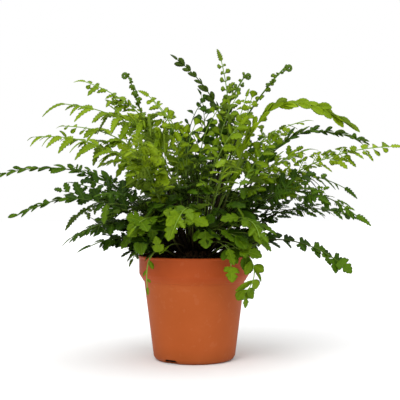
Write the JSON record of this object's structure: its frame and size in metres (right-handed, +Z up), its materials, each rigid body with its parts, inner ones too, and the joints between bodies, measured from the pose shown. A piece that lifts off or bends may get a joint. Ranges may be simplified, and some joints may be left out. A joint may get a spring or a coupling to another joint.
{
  "type": "potted fern",
  "caption": "Bushy fern with arching, finely divided fronds and coiled young tips, standing in a round plastic nursery pot with a wide collar.",
  "frame": {"origin": "centre of the pot's flat underside", "axes": "+Z up along the pot's axis, -Y towards the plant's front, +X to the right seen from the front"},
  "size_m": [0.439, 0.3337, 0.3308],
  "materials": {
    "pot_plastic": "satin",
    "peat": "matte",
    "rhizome_fibre": "matte",
    "mature_leaf": "satin",
    "young_leaf": "satin",
    "fiddlehead_skin": "matte"
  },
  "bodies": {
    "root": {"nursery_pot": "pot_plastic", "potting_soil": "peat", "rhizome_crown": "rhizome_fibre", "fiddlehead_01": "fiddlehead_skin", "fiddlehead_02": "fiddlehead_skin", "fiddlehead_03": "fiddlehead_skin", "fiddlehead_04": "fiddlehead_skin", "frond_01": "mature_leaf", "frond_02": "mature_leaf", "frond_03": "young_leaf", "frond_04": "young_leaf", "frond_05": "young_leaf", "frond_06": "young_leaf", "frond_07": "young_leaf", "frond_08": "young_leaf", "frond_09": "mature_leaf", "frond_10": "young_leaf", "frond_11": "young_leaf", "frond_12": "mature_leaf", "frond_13": "young_leaf", "frond_14": "mature_leaf", "frond_15": "mature_leaf", "frond_16": "mature_leaf", "frond_17": "mature_leaf", "frond_18": "young_leaf", "frond_19": "mature_leaf", "frond_20": "mature_leaf", "frond_21": "mature_leaf", "frond_22": "young_leaf", "frond_23": "young_leaf", "frond_24": "young_leaf", "frond_25": "young_leaf", "frond_26": "mature_leaf", "frond_27": "young_leaf", "frond_28": "young_leaf", "frond_29": "young_leaf", "frond_30": "mature_leaf", "frond_31": "young_leaf", "frond_32": "young_leaf", "frond_33": "mature_leaf", "frond_34": "mature_leaf", "frond_35": "mature_leaf", "frond_36": "mature_leaf", "frond_37": "mature_leaf", "frond_38": "mature_leaf", "frond_39": "young_leaf", "frond_40": "mature_leaf", "frond_41": "young_leaf", "frond_42": "mature_leaf", "frond_43": "mature_leaf", "frond_44": "mature_leaf", "frond_45": "mature_leaf", "frond_46": "mature_leaf", "frond_47": "mature_leaf"}
  },
  "joints": []
}
